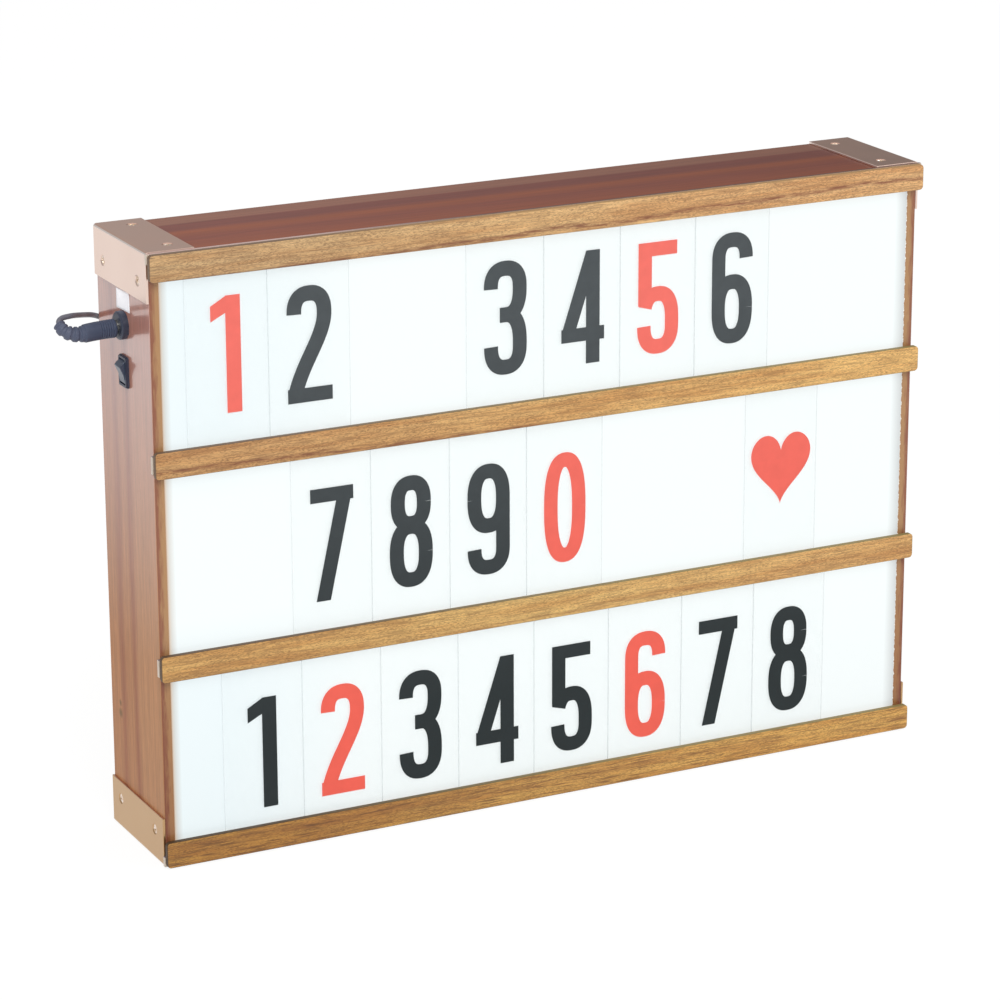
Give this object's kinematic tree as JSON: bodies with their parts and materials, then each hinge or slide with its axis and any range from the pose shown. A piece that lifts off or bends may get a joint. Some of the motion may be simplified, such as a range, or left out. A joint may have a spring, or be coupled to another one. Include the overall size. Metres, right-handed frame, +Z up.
{
  "type": "cinema light box",
  "caption": "Shallow wooden light box with an opal front panel, channelled rails holding sliding letter tiles, a rocker switch and a plug-in lead.",
  "frame": {"origin": "middle of the whole width and depth, on the surface the case stands on, which is the underside of the bottom corner brackets", "axes": "+X along the front to the right, -Y out of the lit front, +Z up"},
  "size_m": [0.4484, 0.1208, 0.3024],
  "materials": {
    "level_wood": "glossy lacquer",
    "upright_wood": "glossy lacquer",
    "back_board": "raw board",
    "pine": "raw",
    "rail_veneer": "satin lacquer",
    "spacer_acrylic": "opal",
    "bracket_metal": "satin rose copper plate",
    "bracket_screw": "satin plate",
    "zinc_screw": "zinc plate",
    "opal_acrylic": "opal",
    "letter_tile": "clear film tile with a printed character",
    "strip_board": "white flexible board",
    "light_source": "phosphor",
    "black_plastic": "moulded",
    "rocker_plastic": "moulded",
    "nickel": "nickel plate",
    "tinned_brass": "tinned",
    "wire_insulation": "insulation",
    "plug_rubber": "moulded",
    "lead_jacket": "matt jacket",
    "tie_plastic": "moulded"
  },
  "bodies": {
    "case": {"top_board": "level_wood", "bottom_board": "level_wood", "left_side_board": "upright_wood", "right_side_board": "upright_wood", "back_panel": "back_board", "back_panel_screws": "zinc_screw", "diffuser_panel": "opal_acrylic", "side_ledges": "pine", "cross_ledges": "pine", "side_battens": "pine", "cross_battens": "pine", "bottom_rail": "rail_veneer", "lower_rail": "rail_veneer", "upper_rail": "rail_veneer", "top_rail": "rail_veneer", "bottom_spacer": "spacer_acrylic", "lower_spacer": "spacer_acrylic", "upper_spacer": "spacer_acrylic", "top_spacer": "spacer_acrylic", "top_left_bracket": "bracket_metal", "top_right_bracket": "bracket_metal", "bottom_left_bracket": "bracket_metal", "bottom_right_bracket": "bracket_metal", "bracket_screws": "bracket_screw", "led_strips": "strip_board", "led_chips": "light_source", "dc_socket": "black_plastic", "dc_socket_nut": "nickel", "switch_body": "black_plastic", "solder_tags": "tinned_brass", "wiring": "wire_insulation"},
    "rocker": {"switch_rocker": "rocker_plastic"},
    "power_lead": {"plug_grip": "plug_rubber", "plug_barrel": "nickel", "lead_cord": "lead_jacket", "lead_coil": "lead_jacket", "coil_tie": "tie_plastic", "lead_tail": "lead_jacket", "usb_grip": "plug_rubber", "usb_shell": "nickel"},
    "tile_top_1": {"tile_top_1": "letter_tile"},
    "tile_top_2": {"tile_top_2": "letter_tile"},
    "tile_top_3": {"tile_top_3": "letter_tile"},
    "tile_top_4": {"tile_top_4": "letter_tile"},
    "tile_top_5": {"tile_top_5": "letter_tile"},
    "tile_top_6": {"tile_top_6": "letter_tile"},
    "tile_mid_1": {"tile_mid_1": "letter_tile"},
    "tile_mid_2": {"tile_mid_2": "letter_tile"},
    "tile_mid_3": {"tile_mid_3": "letter_tile"},
    "tile_mid_4": {"tile_mid_4": "letter_tile"},
    "tile_mid_5": {"tile_mid_5": "letter_tile"},
    "tile_low_1": {"tile_low_1": "letter_tile"},
    "tile_low_2": {"tile_low_2": "letter_tile"},
    "tile_low_3": {"tile_low_3": "letter_tile"},
    "tile_low_4": {"tile_low_4": "letter_tile"},
    "tile_low_5": {"tile_low_5": "letter_tile"},
    "tile_low_6": {"tile_low_6": "letter_tile"},
    "tile_low_7": {"tile_low_7": "letter_tile"},
    "tile_low_8": {"tile_low_8": "letter_tile"}
  },
  "joints": [
    {"name": "switch_rock", "type": "hinge", "parent": "case", "child": "rocker", "pos_m": [-0.206, 0.0025, 0.2382], "axis": [0, 1, 0], "range_deg": [0, 36]},
    {"name": "lead_pull", "type": "slide", "parent": "case", "child": "power_lead", "axis": [-1, 0, 0], "range_m": [0, 0.012]},
    {"name": "tile_top_1_slide", "type": "slide", "parent": "case", "child": "tile_top_1", "axis": [1, 0, 0], "range_m": [-0.014, 0.028]},
    {"name": "tile_top_2_slide", "type": "slide", "parent": "tile_top_1", "child": "tile_top_2", "axis": [1, 0, 0], "range_m": [0, 0.028]},
    {"name": "tile_top_3_slide", "type": "slide", "parent": "case", "child": "tile_top_3", "axis": [1, 0, 0], "range_m": [-0.004, 0.02]},
    {"name": "tile_top_4_slide", "type": "slide", "parent": "tile_top_3", "child": "tile_top_4", "axis": [1, 0, 0], "range_m": [0, 0.02]},
    {"name": "tile_top_5_slide", "type": "slide", "parent": "tile_top_4", "child": "tile_top_5", "axis": [1, 0, 0], "range_m": [0, 0.02]},
    {"name": "tile_top_6_slide", "type": "slide", "parent": "tile_top_5", "child": "tile_top_6", "axis": [1, 0, 0], "range_m": [0, 0.02]},
    {"name": "tile_mid_1_slide", "type": "slide", "parent": "case", "child": "tile_mid_1", "axis": [1, 0, 0], "range_m": [-0.06, 0.015]},
    {"name": "tile_mid_2_slide", "type": "slide", "parent": "tile_mid_1", "child": "tile_mid_2", "axis": [1, 0, 0], "range_m": [0, 0.015]},
    {"name": "tile_mid_3_slide", "type": "slide", "parent": "tile_mid_2", "child": "tile_mid_3", "axis": [1, 0, 0], "range_m": [0, 0.015]},
    {"name": "tile_mid_4_slide", "type": "slide", "parent": "tile_mid_3", "child": "tile_mid_4", "axis": [1, 0, 0], "range_m": [0, 0.015]},
    {"name": "tile_mid_5_slide", "type": "slide", "parent": "case", "child": "tile_mid_5", "axis": [1, 0, 0], "range_m": [-0.018, 0.05]},
    {"name": "tile_low_1_slide", "type": "slide", "parent": "case", "child": "tile_low_1", "axis": [1, 0, 0], "range_m": [-0.026, 0.006]},
    {"name": "tile_low_2_slide", "type": "slide", "parent": "tile_low_1", "child": "tile_low_2", "axis": [1, 0, 0], "range_m": [0, 0.006]},
    {"name": "tile_low_3_slide", "type": "slide", "parent": "tile_low_2", "child": "tile_low_3", "axis": [1, 0, 0], "range_m": [0, 0.006]},
    {"name": "tile_low_4_slide", "type": "slide", "parent": "tile_low_3", "child": "tile_low_4", "axis": [1, 0, 0], "range_m": [0, 0.006]},
    {"name": "tile_low_5_slide", "type": "slide", "parent": "tile_low_4", "child": "tile_low_5", "axis": [1, 0, 0], "range_m": [0, 0.006]},
    {"name": "tile_low_6_slide", "type": "slide", "parent": "tile_low_5", "child": "tile_low_6", "axis": [1, 0, 0], "range_m": [0, 0.006]},
    {"name": "tile_low_7_slide", "type": "slide", "parent": "tile_low_6", "child": "tile_low_7", "axis": [1, 0, 0], "range_m": [0, 0.006]},
    {"name": "tile_low_8_slide", "type": "slide", "parent": "tile_low_7", "child": "tile_low_8", "axis": [1, 0, 0], "range_m": [0, 0.006]}
  ]
}
